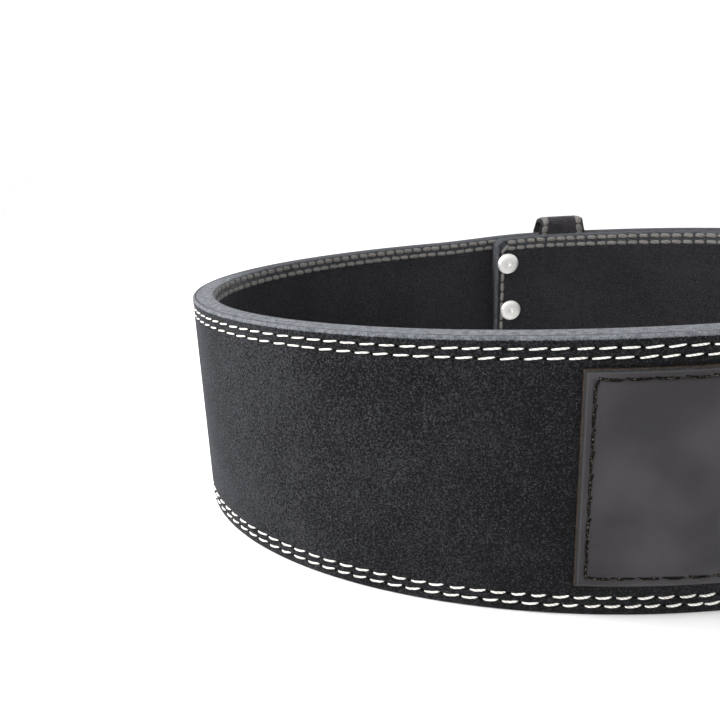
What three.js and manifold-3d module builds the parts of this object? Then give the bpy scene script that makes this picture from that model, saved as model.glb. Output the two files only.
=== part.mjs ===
// A thick leather weightlifting belt, fastened round and standing on its lower edge.
// Units are millimetres. +Z is up, the wearer's back is at -Y and the fastening is at +Y.
//
// Every piece is placed by three readings on the strap: the distance along the waist line,
// measured clockwise from the middle of the fastening, the depth outward from the middle of
// the strap's thickness, and the height above the strap's lower edge.

import * as THREE from 'three';
import { mergeVertices } from 'three/addons/utils/BufferGeometryUtils.js';
import Module from 'manifold-3d';

const wasm = await Module();
wasm.setup();

// Waist line, taken at the middle of the strap's thickness
const waistLength = 357;
const waistDepth = 241;

// Strap, sewn from two layers of leather
const strapHeight = 100;
const innerLayer = 8.6;
const outerLayer = 1.1;
const edgeBevel = 0.8;
const endCorner = 5;
const tongueCorner = 32;
const innerEndShift = 0.3;
const tonguePastClasp = 28;
const mergeMargin = 15;

// Clearance between pieces that touch
const fitGap = 0.3;

// Where the strap rises onto the keeper's lower run: between two places across the belt,
// and over a share of the way from its widest place to the fastening
const riseStart = -35;
const riseEnd = 31;
const riseShare = 0.9;

// Keeper loop
const keeperWidth = 29;
const keeperCrownWidth = 26.5;
const keeperWall = 2.2;
const keeperSlack = 7.8;
const keeperReach = 46.2;
const keeperTopRadius = 3.5;
const keeperFootRadius = 2;

// Rivets at the inner end, each with its distance along the strap and its height
const rivetPlaces = {
  rivet_top: [7.4, 84.4],
  rivet_middle: [10.3, 53.4],
  rivet_bottom: [8.9, 22.4],
};
const rivetHeadDiameter = 13;
const rivetHeadRise = 2.4;
const rivetRim = 0.7;
const rivetDimple = 2.6;
const rivetDimpleDepth = 0.5;
const rivetShank = 4.5;
const rivetTail = 9;
const rivetTailWall = 1.2;

// Patch on the back
const patchWidth = 105;
const patchHeight = 77;
const patchRise = 1.4;
const patchTaper = 1.6;
const patchWall = 2;
const patchBevel = 1.3;
const patchBevelDrop = 0.7;

// Clasp
const claspWidth = 70;
const claspHeight = 76;
const claspWall = 2.5;
const claspCorner = 8;
const claspStandoff = 13;
const claspPin = 5;
const claspPinSpacing = 50;
const claspPinReach = 4;

// Fineness of the meshes
const stationStep = 10;
const cornerSteps = 4;
const roundSides = 20;
const loopCornerSteps = 4;
const domeSteps = 4;
const waistDivisions = 1440;

// Colours
const suedeColour = 0x2b2b2d;
const leatherColour = 0x3b3c3f;
const patchColour = 0x3a373b;
const steelColour = 0xd9d8d4;

// Places that follow from the sizes
const strapThickness = innerLayer + fitGap + outerLayer;
const innerFace = -strapThickness / 2;
const outerFace = strapThickness / 2;
const wallStep = strapThickness + keeperWall + 2 * fitGap;
const baseLift = keeperWall + fitGap;

const waistLine = new THREE.EllipseCurve(
  0, 0, waistLength / 2, waistDepth / 2, Math.PI / 2, -1.5 * Math.PI, true,
);
waistLine.arcLengthDivisions = waistDivisions;
const waistRound = waistLine.getLength();
const backMiddle = waistRound / 2;

const innerEnd = innerEndShift;
const claspStart = keeperReach + keeperWidth / 2 + claspStandoff;
const claspMiddle = claspStart + claspWidth / 2;
const tongueReach = claspStart + claspWidth + tonguePastClasp;
const tongueEnd = waistRound + tongueReach;
const mergeStart = tongueReach + mergeMargin;
const mergeEnd = backMiddle - patchWidth / 2 - mergeMargin;

// The strap is level, and rises beside the keeper so that it rests on its lower run.
function liftAt(point) {
  const across = THREE.MathUtils.smoothstep(point.x, riseStart, riseEnd);
  const forward = THREE.MathUtils.smoothstep(point.y, 0, riseShare * waistDepth / 2);
  return baseLift * across * forward;
}

// A place on the waist line, with the direction that points outward from it.
function waistFrame(along) {
  const share = THREE.MathUtils.euclideanModulo(along / waistRound, 1);
  const point = waistLine.getPointAt(share);
  const tangent = waistLine.getTangentAt(share);
  const outward = new THREE.Vector3(-tangent.y, tangent.x, 0);
  return { point, outward };
}

function onStrap(along, depth, height) {
  const { point, outward } = waistFrame(along);
  return new THREE.Vector3(point.x, point.y, height + liftAt(point)).addScaledVector(outward, depth);
}

// The first stretch of the strap lies one wall step inside its tongue, and comes out
// to the waist line before it reaches the patch.
function stepInward(along) {
  return wallStep * (1 - THREE.MathUtils.smoothstep(along, mergeStart, mergeEnd));
}

// A closed solid through rings of points, each ring with as many points as the next.
function loft(rings, closed = false) {
  const count = rings[0].length;
  const positions = rings.flat().flatMap((point) => point.toArray());
  const faces = [];
  const spans = closed ? rings.length : rings.length - 1;
  for (let ring = 0; ring < spans; ring += 1) {
    const next = (ring + 1) % rings.length;
    for (let side = 0; side < count; side += 1) {
      const other = (side + 1) % count;
      const [a, b] = [ring * count + side, ring * count + other];
      const [c, d] = [next * count + other, next * count + side];
      faces.push(a, b, c, a, c, d);
    }
  }
  if (!closed) {
    const last = (rings.length - 1) * count;
    for (let side = 1; side < count - 1; side += 1) {
      faces.push(0, side + 1, side);
      faces.push(last, last + side, last + side + 1);
    }
  }
  const geometry = new THREE.BufferGeometry();
  geometry.setAttribute('position', new THREE.Float32BufferAttribute(positions, 3));
  geometry.setIndex(faces);
  return geometry;
}

function toSolid(geometry) {
  const bare = geometry.clone();
  bare.deleteAttribute('normal');
  bare.deleteAttribute('uv');
  const merged = mergeVertices(bare);
  return new wasm.Manifold(new wasm.Mesh({
    numProp: 3,
    vertProperties: Float32Array.from(merged.attributes.position.array),
    triVerts: Uint32Array.from(merged.index.array),
  }));
}

function toGeometry(solid) {
  const mesh = solid.getMesh();
  const geometry = new THREE.BufferGeometry();
  geometry.setAttribute('position', new THREE.Float32BufferAttribute(mesh.vertProperties, 3));
  geometry.setIndex([...mesh.triVerts]);
  return geometry;
}

function piece(name, geometry, color, roughness, metalness = 0) {
  const material = new THREE.MeshStandardMaterial({ color, roughness, metalness, flatShading: true });
  const mesh = new THREE.Mesh(geometry, material);
  mesh.name = name;
  return mesh;
}

// Distances from start to end, no further apart than the station step.
function evenStations(start, end) {
  const count = Math.ceil((end - start) / stationStep);
  return Array.from({ length: count + 1 }, (_, index) => THREE.MathUtils.lerp(start, end, index / count));
}

// Distances over a rounded corner, close together where the outline turns fastest.
function cornerStations(radius) {
  return Array.from({ length: cornerSteps }, (_, index) => {
    const turn = (index / cornerSteps) * (Math.PI / 2);
    return radius * (1 - Math.cos(turn));
  });
}

function roundedStations(start, end, startCorner, endCornerRadius) {
  const middle = evenStations(start + startCorner, end - endCornerRadius);
  const opening = cornerStations(startCorner).map((distance) => start + distance);
  const closing = cornerStations(endCornerRadius).map((distance) => end - distance).reverse();
  return [...opening, ...middle, ...closing];
}

// How far a rounded corner cuts into the outline's height.
function cornerCut(distance, radius) {
  if (distance >= radius) return 0;
  return radius - Math.sqrt(radius ** 2 - (radius - distance) ** 2);
}

function strapCut(along) {
  return cornerCut(along - innerEnd, endCorner) + cornerCut(tongueEnd - along, tongueCorner);
}

// One leather layer from the inner end to the tip of the tongue. Its section is listed
// anticlockwise as it is seen from the tongue, with the bevels on its outside face.
function strapLayer(sectionAt) {
  const stations = roundedStations(innerEnd, tongueEnd, endCorner, tongueCorner);
  return toSolid(loft(stations.map((along) => {
    const cut = strapCut(along);
    const section = sectionAt(cut, strapHeight - cut);
    return section.map(([depth, height]) => onStrap(along, depth - stepInward(along), height));
  })));
}

function innerSection(low, high) {
  const seam = innerFace + innerLayer;
  return [
    [seam, low], [seam, high], [innerFace + edgeBevel, high], [innerFace, high - edgeBevel],
    [innerFace, low + edgeBevel], [innerFace + edgeBevel, low],
  ];
}

function outerSection(low, high) {
  const seam = outerFace - outerLayer;
  return [
    [outerFace, low + edgeBevel], [outerFace, high - edgeBevel], [outerFace - edgeBevel, high],
    [seam, high], [seam, low], [outerFace - edgeBevel, low],
  ];
}

// A round piece whose axis points outward from the waist line, its profile given as
// pairs of radius and depth.
function turned(profile, along, height) {
  const points = profile.map(([radius, depth]) => new THREE.Vector2(radius, depth));
  const geometry = new THREE.LatheGeometry(points, roundSides);
  const { outward } = waistFrame(along);
  const turn = new THREE.Quaternion().setFromUnitVectors(new THREE.Vector3(0, 1, 0), outward);
  const place = onStrap(along, 0, height);
  return geometry.applyQuaternion(turn).translate(place.x, place.y, place.z);
}

function pinProfile(radius, inside, outside) {
  return [[0, inside], [radius, inside], [radius, outside], [0, outside]];
}

// The rivet's domed head, from the dimple in its middle out to its rim.
function domeProfile(rim, crown) {
  return Array.from({ length: domeSteps + 1 }, (_, index) => {
    const turn = (1 - index / domeSteps) * (Math.PI / 2);
    const radius = THREE.MathUtils.lerp(rivetDimple, rivetHeadDiameter, Math.cos(turn)) / 2;
    return [radius, THREE.MathUtils.lerp(rim, crown, Math.sin(turn))];
  });
}

function rivet([along, height]) {
  const seat = innerFace - wallStep - fitGap;
  const crown = seat - rivetHeadRise;
  const tailSeat = outerFace - wallStep + fitGap;
  return turned([
    [0, crown + rivetDimpleDepth],
    ...domeProfile(seat - rivetRim, crown),
    [rivetHeadDiameter / 2, seat],
    [rivetShank / 2, seat],
    [rivetShank / 2, tailSeat],
    [rivetTail / 2, tailSeat],
    [rivetTail / 2, tailSeat + rivetTailWall],
    [0, tailSeat + rivetTailWall],
  ], along, height);
}

function rivetHole([along, height]) {
  const inside = innerFace - wallStep - fitGap;
  const outside = outerFace - wallStep + fitGap;
  return toSolid(turned(pinProfile(rivetShank / 2 + fitGap, inside, outside), along, height));
}

// The clasp's pins go through the tongue and stop inside the inner end.
const claspPinHeights = [-1, 1].map((side) => (strapHeight + side * claspPinSpacing) / 2);
const claspPinTip = outerFace - wallStep - outerLayer - claspPinReach;
const claspSeat = outerFace + fitGap;

function claspHole(height) {
  const profile = pinProfile(claspPin / 2 + fitGap, claspPinTip - fitGap, claspSeat);
  return toSolid(turned(profile, claspMiddle, height));
}

function clasp() {
  const low = (strapHeight - claspHeight) / 2;
  const start = claspStart;
  const end = claspStart + claspWidth;
  const back = claspSeat;
  const front = claspSeat + claspWall;
  const plate = toSolid(loft(roundedStations(start, end, claspCorner, claspCorner).map((along) => {
    const cut = low + cornerCut(along - start, claspCorner) + cornerCut(end - along, claspCorner);
    const corners = [[front, cut], [front, strapHeight - cut], [back, strapHeight - cut], [back, cut]];
    return corners.map(([depth, height]) => onStrap(along, depth, height));
  })));
  return claspPinHeights.reduce((solid, height) => {
    const profile = pinProfile(claspPin / 2, claspPinTip, back + claspWall / 2);
    return solid.add(toSolid(turned(profile, claspMiddle, height)));
  }, plate);
}

// The keeper's closed path round the tongue, as places on the middle of its leather, each
// with the direction that points out of the loop.
function keeperPath() {
  const half = strapThickness / 2 + fitGap + keeperWall / 2;
  const foot = -fitGap - keeperWall / 2;
  const crown = strapHeight + keeperSlack + keeperWall / 2;
  const footRadius = Math.min(keeperFootRadius, half);
  const topRadius = Math.min(keeperTopRadius, half);
  const corners = [
    { depth: half - footRadius, height: foot + footRadius, radius: footRadius, from: -Math.PI / 2 },
    { depth: half - topRadius, height: crown - topRadius, radius: topRadius, from: 0 },
    { depth: topRadius - half, height: crown - topRadius, radius: topRadius, from: Math.PI / 2 },
    { depth: footRadius - half, height: foot + footRadius, radius: footRadius, from: Math.PI },
  ];
  return corners.flatMap(({ depth, height, radius, from }) => (
    Array.from({ length: loopCornerSteps + 1 }, (_, index) => {
      const angle = from + (index / loopCornerSteps) * (Math.PI / 2);
      const out = new THREE.Vector2(Math.cos(angle), Math.sin(angle));
      return { place: new THREE.Vector2(depth, height).addScaledVector(out, radius), out };
    })
  ));
}

function keeper() {
  const crown = strapHeight + keeperSlack;
  const acrossSteps = Math.ceil(keeperWidth / stationStep) + 1;
  const shares = Array.from({ length: acrossSteps + 1 }, (_, index) => index / acrossSteps - 1 / 2);
  return loft(keeperPath().map(({ place, out }) => {
    const narrowing = THREE.MathUtils.smoothstep(place.y, strapHeight, crown);
    const width = THREE.MathUtils.lerp(keeperWidth, keeperCrownWidth, narrowing);
    const outside = place.clone().addScaledVector(out, keeperWall / 2);
    const inside = place.clone().addScaledVector(out, -keeperWall / 2);
    const across = (share, spot) => onStrap(keeperReach + share * width, spot.x, spot.y);
    return [
      ...shares.map((share) => across(share, inside)),
      ...[...shares].reverse().map((share) => across(share, outside)),
    ];
  }), true);
}

// The patch has a bevel all round its front and is a little narrower at the bottom.
function backPatch() {
  const low = (strapHeight - patchHeight) / 2 + patchRise;
  const high = low + patchHeight;
  const seat = outerFace + fitGap;
  const front = seat + patchWall;
  const edge = front - patchBevelDrop;
  const half = patchWidth / 2;
  const rows = [-half, ...evenStations(patchBevel - half, half - patchBevel), half];
  return loft(rows.map((across) => {
    const face = Math.abs(across) === half ? edge : front;
    const section = [
      [edge, low], [face, low + patchBevel], [face, high - patchBevel],
      [edge, high], [seat, high], [seat, low],
    ];
    return section.map(([depth, height]) => {
      const narrowing = (patchTaper / half) * ((high - height) / patchHeight);
      return onStrap(backMiddle + across * (1 - narrowing), depth, height);
    });
  }));
}

const holes = [
  ...Object.values(rivetPlaces).map(rivetHole),
  ...claspPinHeights.map(claspHole),
];
const drilled = (layer) => toGeometry(holes.reduce((solid, hole) => solid.subtract(hole), layer));

const belt = new THREE.Group();
belt.add(piece('inner_leather', drilled(strapLayer(innerSection)), leatherColour, 0.9));
belt.add(piece('outer_suede', drilled(strapLayer(outerSection)), suedeColour, 1));
belt.add(piece('keeper', keeper(), leatherColour, 0.8));
belt.add(piece('back_patch', backPatch(), patchColour, 0.5));
Object.entries(rivetPlaces).forEach(([name, place]) => {
  belt.add(piece(name, rivet(place), steelColour, 0.3, 1));
});
belt.add(piece('clasp', toGeometry(clasp()), steelColour, 0.35, 1));

// The origin is the middle of the belt's footprint, on the surface it stands on.
const bounds = new THREE.Box3().setFromObject(belt);
const middle = bounds.getCenter(new THREE.Vector3());
belt.position.set(-middle.x, -middle.y, -bounds.min.z);

export default belt;
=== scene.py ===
# %% [markdown]
# # A weightlifting belt
# The belt is two thick layers of suede leather, sewn with white thread along both edges.
# It stands on its lower edge, fastened round, with its inner end riveted and its tongue
# passing through a keeper loop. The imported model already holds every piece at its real
# size, so the first cell loads it, and each later cell replaces one plain solid by a
# finer surface in the same place.

import bmesh
import bpy
import numpy as np
from mathutils import Matrix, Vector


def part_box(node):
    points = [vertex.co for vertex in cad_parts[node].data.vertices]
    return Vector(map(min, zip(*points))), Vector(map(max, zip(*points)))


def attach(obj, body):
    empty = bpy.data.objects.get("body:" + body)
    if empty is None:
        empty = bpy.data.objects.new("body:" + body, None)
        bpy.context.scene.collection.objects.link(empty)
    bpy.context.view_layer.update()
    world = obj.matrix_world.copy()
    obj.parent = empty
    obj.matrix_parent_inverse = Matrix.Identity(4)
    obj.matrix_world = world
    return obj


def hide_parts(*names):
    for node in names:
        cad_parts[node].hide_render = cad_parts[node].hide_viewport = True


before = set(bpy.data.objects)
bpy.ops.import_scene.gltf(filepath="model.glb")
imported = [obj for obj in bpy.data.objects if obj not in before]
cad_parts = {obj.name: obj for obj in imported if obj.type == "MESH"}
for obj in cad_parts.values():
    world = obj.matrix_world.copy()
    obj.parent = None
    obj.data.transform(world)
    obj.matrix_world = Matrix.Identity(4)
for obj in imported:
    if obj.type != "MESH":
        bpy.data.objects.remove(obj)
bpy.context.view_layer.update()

# %% [markdown]
# ## Reading places on the strap
# A belt is easiest to describe as if it lay flat: how far along, how high, and how deep
# in the leather. One function turns those three readings into a point in space. The path
# round the waist is an ellipse, and equal steps along it are found from a table of its
# arc length, because an ellipse has no simple formula for that.

# %% The waist line
MM = 0.001
HALF_LENGTH = 178.5 * MM
HALF_DEPTH = 120.5 * MM
STRAP_HEIGHT = 100 * MM
INNER_LAYER = 8.6 * MM
OUTER_LAYER = 1.1 * MM
FIT_GAP = 0.3 * MM
KEEPER_WALL = 2.2 * MM
THICKNESS = INNER_LAYER + FIT_GAP + OUTER_LAYER
OUTER_FACE = THICKNESS / 2
INNER_FACE = -THICKNESS / 2
WALL_STEP = THICKNESS + KEEPER_WALL + 2 * FIT_GAP
BASE_LIFT = KEEPER_WALL + FIT_GAP
RISE_START = -35 * MM
RISE_END = 31 * MM
RISE_SHARE = 0.9

TURN = np.linspace(0, 2 * np.pi, 20001)
ARC = np.concatenate([[0], np.cumsum(np.hypot(
    np.diff(HALF_LENGTH * np.sin(TURN)), np.diff(HALF_DEPTH * np.cos(TURN))))])
WAIST_ROUND = ARC[-1]
suede_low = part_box("outer_suede")[0]
CENTRE_X = suede_low[0] + HALF_LENGTH + OUTER_FACE
CENTRE_Y = suede_low[1] + HALF_DEPTH + OUTER_FACE
print("length round the waist:", round(WAIST_ROUND, 4))


# %% From readings on the strap to a point
def smooth(value, start, end):
    """Goes from 0 at start to 1 at end along 3t^2 - 2t^3, and stays flat outside."""
    share = np.clip((value - start) / (end - start), 0, 1)
    return share * share * (3 - 2 * share)


def on_strap(along, depth, height):
    """The ellipse's point at that arc length, moved outward by depth and up by height.

    The point is (a sin t, b cos t), and outward is the direction (b sin t, a cos t).
    The strap rises onto the keeper's lower run, and slopes back to level past it.
    """
    along, depth, height = np.broadcast_arrays(along, depth, height)
    turn = np.interp(np.mod(along, WAIST_ROUND), ARC, TURN)
    x, y = HALF_LENGTH * np.sin(turn), HALF_DEPTH * np.cos(turn)
    out_x, out_y = HALF_DEPTH * np.sin(turn), HALF_LENGTH * np.cos(turn)
    size = np.hypot(out_x, out_y)
    lift = BASE_LIFT * smooth(x, RISE_START, RISE_END) * smooth(y, 0, RISE_SHARE * HALF_DEPTH)
    return np.stack([CENTRE_X + x + depth * out_x / size,
                     CENTRE_Y + y + depth * out_y / size, height + lift], axis=-1)


# %% Where the pieces begin and end
BACK_MIDDLE = WAIST_ROUND / 2
INNER_END = 0.3 * MM
KEEPER_REACH = 46.2 * MM
CLASP_START = 73.7 * MM
CLASP_WIDTH = 70 * MM
TONGUE_PAST_CLASP = 28 * MM
MERGE_PAST_CLASP = 43 * MM
MERGE_TO_MIDDLE = 67.5 * MM
TONGUE_END = WAIST_ROUND + CLASP_START + CLASP_WIDTH + TONGUE_PAST_CLASP
MERGE_START = CLASP_START + CLASP_WIDTH + MERGE_PAST_CLASP
MERGE_END = BACK_MIDDLE - MERGE_TO_MIDDLE
END_CORNER = 5 * MM
TONGUE_CORNER = 32 * MM


def step_inward(along):
    """One wall step at the inner end, easing to nothing before the patch."""
    return WALL_STEP * (1 - smooth(along, MERGE_START, MERGE_END))


def in_strap(along, depth, height):
    """A place in the strap itself, which starts one wall step inside its tongue."""
    return on_strap(along, depth - step_inward(along), height)


print("tongue ends at", round(TONGUE_END, 4), "along the strap")

# %% [markdown]
# ## Turning a grid of points into a mesh
# Every piece here is a grid: rows along the piece, columns round it. The same helper
# joins neighbouring points with four-sided faces, closes the two ends, and checks that
# the faces look outward by adding up the volume they enclose. Copies of one grid, such
# as stitches, go through it together, so nothing is looped over point by point.


# %% Mesh helper
def enclosed(points, quads):
    """The volume inside: each triangle and the origin span a sixth of a box."""
    corners = points[quads]
    first = np.einsum("ij,ij->i", corners[:, 0], np.cross(corners[:, 1], corners[:, 2]))
    second = np.einsum("ij,ij->i", corners[:, 0], np.cross(corners[:, 2], corners[:, 3]))
    return (first.sum() + second.sum()) / 6


def surface(name, grid, wrap_rows=False, readings=None, masks=None, finish=None):
    """A closed mesh from a grid of points (copies, rows, columns, xyz).

    Columns run round the piece and always close on themselves. Rows close too if
    wrap_rows is set, and otherwise the first and last ring are each closed by one face.
    """
    grid = grid.reshape((-1,) + grid.shape[-3:])
    copies, rows, columns = grid.shape[:3]
    points = grid.reshape(-1, 3)
    numbers = np.arange(rows * columns).reshape(rows, columns)
    numbers = np.hstack([numbers, numbers[:, :1]])
    if wrap_rows:
        numbers = np.vstack([numbers, numbers[:1]])
    quads = np.stack([numbers[:-1, :-1], numbers[:-1, 1:], numbers[1:, 1:], numbers[1:, :-1]], -1)
    quads = quads.reshape(-1, 4)
    turned = enclosed(points[: rows * columns] - points[0], quads) < 0
    order = slice(None, None, -1 if turned else 1)
    starts = np.arange(copies)[:, None, None] * rows * columns
    faces = (starts + quads[:, order]).reshape(-1, 4).tolist()
    if not wrap_rows:
        ends = np.stack([numbers[0, :-1][::-1], numbers[-1, :-1]])
        faces += (starts + ends[:, order]).reshape(-1, columns).tolist()
    mesh = bpy.data.meshes.new(name)
    mesh.from_pydata(points, [], faces)
    for key, values in (masks or {}).items():
        mask = mesh.attributes.new(key, "FLOAT", "POINT")
        mask.data.foreach_set("value", np.ascontiguousarray(values, dtype=np.float32).ravel())
    if readings is not None:
        corner_points = np.empty(len(mesh.loops), dtype=np.int32)
        mesh.loops.foreach_get("vertex_index", corner_points)
        layer = mesh.uv_layers.new(name="readings")
        layer.data.foreach_set("uv", readings.reshape(-1, 2)[corner_points].ravel())
    mesh.polygons.foreach_set("use_smooth", np.ones(len(mesh.polygons), dtype=bool))
    if finish is not None:
        mesh.materials.append(finish.material)
    piece = bpy.data.objects.new(name, mesh)
    bpy.context.scene.collection.objects.link(piece)
    print(name, "has", len(mesh.vertices), "points and", len(mesh.polygons), "faces")
    return piece


def weld(piece, reach=1e-6):
    """Merges points that lie in the same place, such as those of a pinched corner."""
    work = bmesh.new()
    work.from_mesh(piece.data)
    bmesh.ops.remove_doubles(work, verts=work.verts, dist=reach)
    work.to_mesh(piece.data)
    work.free()


def stand_for(piece, slot, *nodes):
    """The piece takes the place of those plain solids and moves with the belt."""
    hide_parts(*nodes)
    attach(piece, "root")


# %% [markdown]
# ## Writing materials as sums
# A material is a web of nodes, but what it says is often a sum, such as one minus a
# mask. A small class wraps a socket so that plain Python signs add the nodes, and a
# second one makes every other node with a single method.


# %% Shader helpers
class Wire:
    """An output of a node that can stand in a Python expression."""

    def __init__(self, finish, socket):
        self.finish = finish
        self.socket = socket

    def maths(self, operation, first, second):
        return self.finish.node("ShaderNodeMath", {"operation": operation}, {0: first, 1: second})

    def __add__(self, other):
        return self.maths("ADD", self, other)

    def __sub__(self, other):
        return self.maths("SUBTRACT", self, other)

    def __rsub__(self, other):
        return self.maths("SUBTRACT", other, self)

    def __mul__(self, other):
        return self.maths("MULTIPLY", self, other)

    __radd__ = __add__
    __rmul__ = __mul__


class Finish:
    """A material made of one main shader and the nodes that feed it."""

    def __init__(self, name, **constants):
        self.material = bpy.data.materials.new(name)
        self.material.use_nodes = True
        self.tree = self.material.node_tree
        self.shader = self.tree.nodes["Principled BSDF"]
        for socket, value in constants.items():
            self.shader.inputs[socket.replace("_", " ")].default_value = value
        self.place = self.node("ShaderNodeTexCoord", output="Object")

    def node(self, kind, settings=None, inputs=None, output=0):
        node = self.tree.nodes.new(kind)
        for key, value in (settings or {}).items():
            setattr(node, key, value)
        for key, value in (inputs or {}).items():
            self.feed(node.inputs[key], value)
        return Wire(self, node.outputs[output])

    def feed(self, socket, value):
        if isinstance(value, Wire):
            self.tree.links.new(value.socket, socket)
        else:
            socket.default_value = value

    def stretched(self, x, y, z):
        """Object coordinates times one number for each direction."""
        return self.node("ShaderNodeVectorMath", {"operation": "MULTIPLY"},
                         {0: self.place, 1: (x, y, z)})

    def noise(self, scale, detail=2.0, roughness=0.5, vector=None):
        return self.node("ShaderNodeTexNoise", None, {
            "Vector": vector or self.place, "Scale": scale, "Detail": detail, "Roughness": roughness})

    def curled(self, scale, vector):
        """Noise bent by itself, which draws it out into short curly fibres."""
        return self.node("ShaderNodeTexNoise", None, {
            "Vector": vector, "Scale": scale, "Detail": 1.5, "Roughness": 0.55, "Distortion": 1.6})

    def strands(self, scale, width, vector):
        """1 on thin curly lines, which are where a smooth noise passes its middle value."""
        wave = self.node("ShaderNodeTexNoise", None, {
            "Vector": vector, "Scale": scale, "Detail": 0.6, "Roughness": 0.5, "Distortion": 0.9})
        away = self.node("ShaderNodeMath", {"operation": "ABSOLUTE"}, {0: wave - 0.5})
        return self.between(away, width, 0.0)

    def between(self, value, low, high):
        """0 below low, 1 above high, and smooth between them."""
        return self.node("ShaderNodeMapRange", {"interpolation_type": "SMOOTHSTEP"},
                         {"Value": value, "From Min": low, "From Max": high})

    def blend(self, factor, first, second):
        """The first colour where factor is 0, and the second where it is 1."""
        first, second = [value if isinstance(value, Wire) else (*value, 1) for value in (first, second)]
        return self.node("ShaderNodeMix", {"data_type": "RGBA"},
                         {0: factor, 6: first, 7: second}, output=2)

    def bump(self, height, distance, strength):
        return self.node("ShaderNodeBump", None, {
            "Height": height, "Distance": distance, "Strength": strength})

    def set(self, **wires):
        for socket, value in wires.items():
            self.feed(self.shader.inputs[socket.replace("_", " ")], value)

    def attribute(self, name):
        """A number that the mesh carries at its points."""
        return self.node("ShaderNodeAttribute", {"attribute_name": name}, output="Fac")

    def cover(self, mask, other):
        """Shows another shader where mask is 1."""
        both = self.node("ShaderNodeMixShader", None,
                         {0: mask, 1: Wire(self, self.shader.outputs["BSDF"]), 2: other})
        self.feed(self.tree.nodes["Material Output"].inputs["Surface"], both)


print("helpers ready")

# %% [markdown]
# ## Suede and its cut edge
# Suede is leather with its fibres brushed up. Seen close, short pale fibres lie over a
# nearly black ground, and the nap leans this way and that in soft clouds, so the colour
# is a fine speckle under a slow one. Light that grazes the fibres comes back pale, which
# is what the sheen of the shader does. The edges are cut through the leather and only
# lightly dyed, so they are grey with a grainy face. Both belong to one layer, so one
# material changes from one to the other with the mask "rim" that the mesh carries.


# %% Suede finish
# Where the edge's colour darkens towards high Y: from where, to where, and how far.
EDGE_DARK_START, EDGE_DARK_END, EDGE_DARK_DEPTH = 0.020, 0.070, 0.64
# Where the nap's painted light and shade fade out, from the middle of the front and back to the sides.
MIDDLE_REACH, SIDE_REACH = 0.06, 0.15


def suede_finish(name, ground, fibre, edge_low, edge_high, sheen, flat):
    """Fibres over a dark ground on the faces, and pale grain where rim is near 1.

    The edge is darker on the fastening's side, at high Y, than at the back.
    The last argument paints shade: it is how much weaker the nap shows in the middle of the back
    and front than at the sides, and a negative one paints light there, making it stronger.
    """
    suede = Finish(name, Sheen_Weight=sheen, Sheen_Roughness=0.4, Sheen_Tint=(0.78, 0.83, 0.95, 1),
                   Specular_IOR_Level=0.12)
    clouds = suede.noise(30, 3, 0.55)
    tufts = suede.noise(1300, 2, 0.6)
    hairs = suede.curled(3400, suede.stretched(1, 1, 0.8))
    long_strands = suede.strands(1700, 0.06, suede.stretched(1, 1, 0.85))
    short_strands = suede.strands(2600, 0.08, suede.stretched(1, 1, 1.2))
    strands = long_strands * 0.5 + short_strands * 0.5
    aside = suede.node("ShaderNodeSeparateXYZ", None, {0: suede.place}, output="X") - CENTRE_X
    aside = suede.node("ShaderNodeMath", {"operation": "ABSOLUTE"}, {0: aside})
    # Painted light and shade: the nap is made weaker or stronger near the middle of the front and back, as
    # light falls there.
    painted_falloff = suede.between(aside, SIDE_REACH, MIDDLE_REACH) * flat
    nap = strands * suede.between(tufts + (clouds - 0.5) * 0.28, 0.36, 0.62) + hairs * 0.35
    nap = nap * (1 - painted_falloff)
    face = suede.blend(suede.between(nap, 0.14, 0.80), ground, fibre)
    suede.set(Base_Color=face, Roughness=0.97 - 0.06 * clouds, Normal=suede.bump(nap, 0.15 * MM, 0.5))
    grain = suede.noise(2300, 3, 0.8)
    pits = suede.noise(420, 2, 0.5)
    edge = suede.blend(suede.between(grain * 0.7 + pits * 0.3, 0.38, 0.66), edge_low, edge_high)
    forward = suede.node("ShaderNodeSeparateXYZ", None, {0: suede.place}, output="Y")
    # The edge's colour darkens towards high Y, on the fastening's side.
    darker_forward = suede.between(forward, EDGE_DARK_START, EDGE_DARK_END) * EDGE_DARK_DEPTH
    # Painted shade: the seam mask darkens the edge beside the seam between the layers.
    edge = suede.blend(suede.attribute("seam") * 0.55 + darker_forward, edge, (0.012, 0.013, 0.015))
    cut = suede.node("ShaderNodeBsdfPrincipled", None, {
        "Base Color": edge, "Roughness": 0.92, "Specular IOR Level": 0.12,
        "Normal": suede.bump(grain, 0.25 * MM, 0.5)})
    fray = (hairs - 0.5) * 0.5 + (tufts - 0.5) * 0.5
    suede.cover(suede.between(suede.attribute("rim") + fray, 0.36, 0.64), cut)
    return suede


# The last number paints shade in the middle of the outer face, and light in the middle of the inner face.
outer_finish = suede_finish("brushed suede", (0.0034, 0.0034, 0.0038), (0.066, 0.068, 0.076),
                            (0.056, 0.061, 0.070), (0.228, 0.238, 0.254), 0.06, 0.30)
inner_finish = suede_finish("inner suede", (0.0100, 0.0096, 0.0110), (0.042, 0.0405, 0.0460),
                            (0.056, 0.061, 0.070), (0.238, 0.248, 0.264), 0.08, -0.25)

# %% [markdown]
# ## The two layers of the strap
# Each layer is one section carried from the inner end to the tip of the tongue. The
# section is a rounded rectangle whose face is slightly drawn in along the two rows of
# stitches, as thread pulled tight does to thick leather. At both ends the corners are
# round: the section loses height along a quarter circle, and its own edges close along
# a smaller one.

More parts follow.
